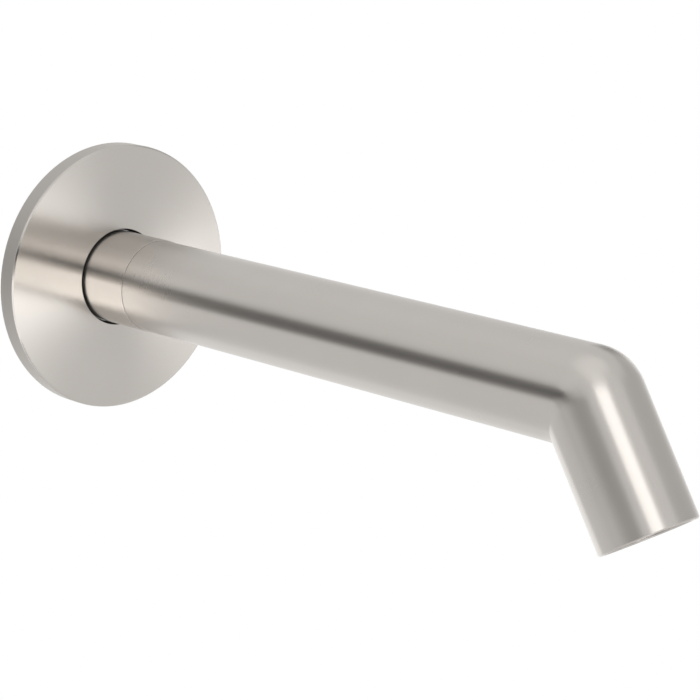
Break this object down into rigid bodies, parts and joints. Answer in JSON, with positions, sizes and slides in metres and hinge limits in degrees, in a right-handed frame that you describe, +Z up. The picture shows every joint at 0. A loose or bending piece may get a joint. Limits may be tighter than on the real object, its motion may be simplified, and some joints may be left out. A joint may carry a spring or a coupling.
{
  "type": "wall-mounted bath spout",
  "caption": "Wall bath spout: straight round tube with a short tip bent down 60 degrees, swivel collar, round cover plate, pipe-thread adaptor and hidden aerator.",
  "frame": {"origin": "where the tube's axis meets the finished wall, in the plane of the cover plate's back", "axes": "+Y into the wall along the tube's axis, -Y out into the room, +Z up, +X to the right of a person facing the wall"},
  "size_m": [0.073, 0.2272, 0.073],
  "materials": {
    "tube_metal": "satin brushed nickel, brushed round the tube",
    "collar_metal": "fine turned, brighter than the tube",
    "plate_metal": "circular brushed face, semi-gloss",
    "adaptor_brass": "machined",
    "insert_nickel": "nickel plated",
    "screw_steel": "plain",
    "rubber_seal": "matt black",
    "foam_gasket": "closed-cell foam",
    "bearing_plastic": "matt white",
    "aerator_plastic": "matt grey",
    "strainer_plastic": "matt white",
    "screen_wire": "bright wire"
  },
  "bodies": {
    "wall_fixing": {"wall_adaptor": "adaptor_brass", "adaptor_seal_ring": "rubber_seal", "spigot_o_ring_rear": "rubber_seal", "spigot_o_ring_front": "rubber_seal"},
    "plate": {"cover_plate": "plate_metal", "cover_plate_o_ring": "rubber_seal", "wall_gasket": "foam_gasket"},
    "collar": {"rear_collar": "collar_metal", "swivel_thrust_washer": "bearing_plastic", "swivel_o_ring": "rubber_seal", "swivel_glide_ring": "bearing_plastic", "swivel_snap_ring": "screw_steel"},
    "grub_screw": {"grub_screw": "screw_steel"},
    "spout": {"spout_tube": "tube_metal", "inlet_bush": "adaptor_brass", "outlet_insert": "insert_nickel"},
    "aerator_seal": {"aerator_washer": "rubber_seal"},
    "aerator": {"aerator_housing": "aerator_plastic", "aerator_strainer": "strainer_plastic", "aerator_diffuser": "strainer_plastic", "aerator_mixing_ring": "strainer_plastic", "aerator_screen_upper": "screen_wire", "aerator_screen_lower": "screen_wire", "aerator_honeycomb": "aerator_plastic"}
  },
  "joints": [
    {"name": "cover_plate_slide", "type": "slide", "parent": "wall_fixing", "child": "plate", "axis": [0, -1, 0], "range_m": [0, 0.16]},
    {"name": "spout_pull_off", "type": "slide", "parent": "wall_fixing", "child": "collar", "axis": [0, -1, 0], "range_m": [0, 0.034]},
    {"name": "grub_screw_travel", "type": "slide", "parent": "collar", "child": "grub_screw", "axis": [0, 0, -1], "range_m": [0, 0.002]},
    {"name": "spout_swivel", "type": "hinge", "parent": "collar", "child": "spout", "pos_m": [0, 0, 0], "axis": [0, -1, 0], "continuous": true},
    {"name": "aerator_travel", "type": "slide", "parent": "spout", "child": "aerator_seal", "axis": [0, -0.5, -0.866], "range_m": [0, 0.0092]},
    {"name": "aerator_turn", "type": "hinge", "parent": "aerator_seal", "child": "aerator", "pos_m": [0, -0.199, -0.02988], "axis": [0, -0.5, -0.866], "range_deg": [0, 3240]}
  ],
  "couplings": [
    {"joint": "aerator_travel", "follows": "aerator_turn", "m_per_rad": 0.00015915}
  ]
}
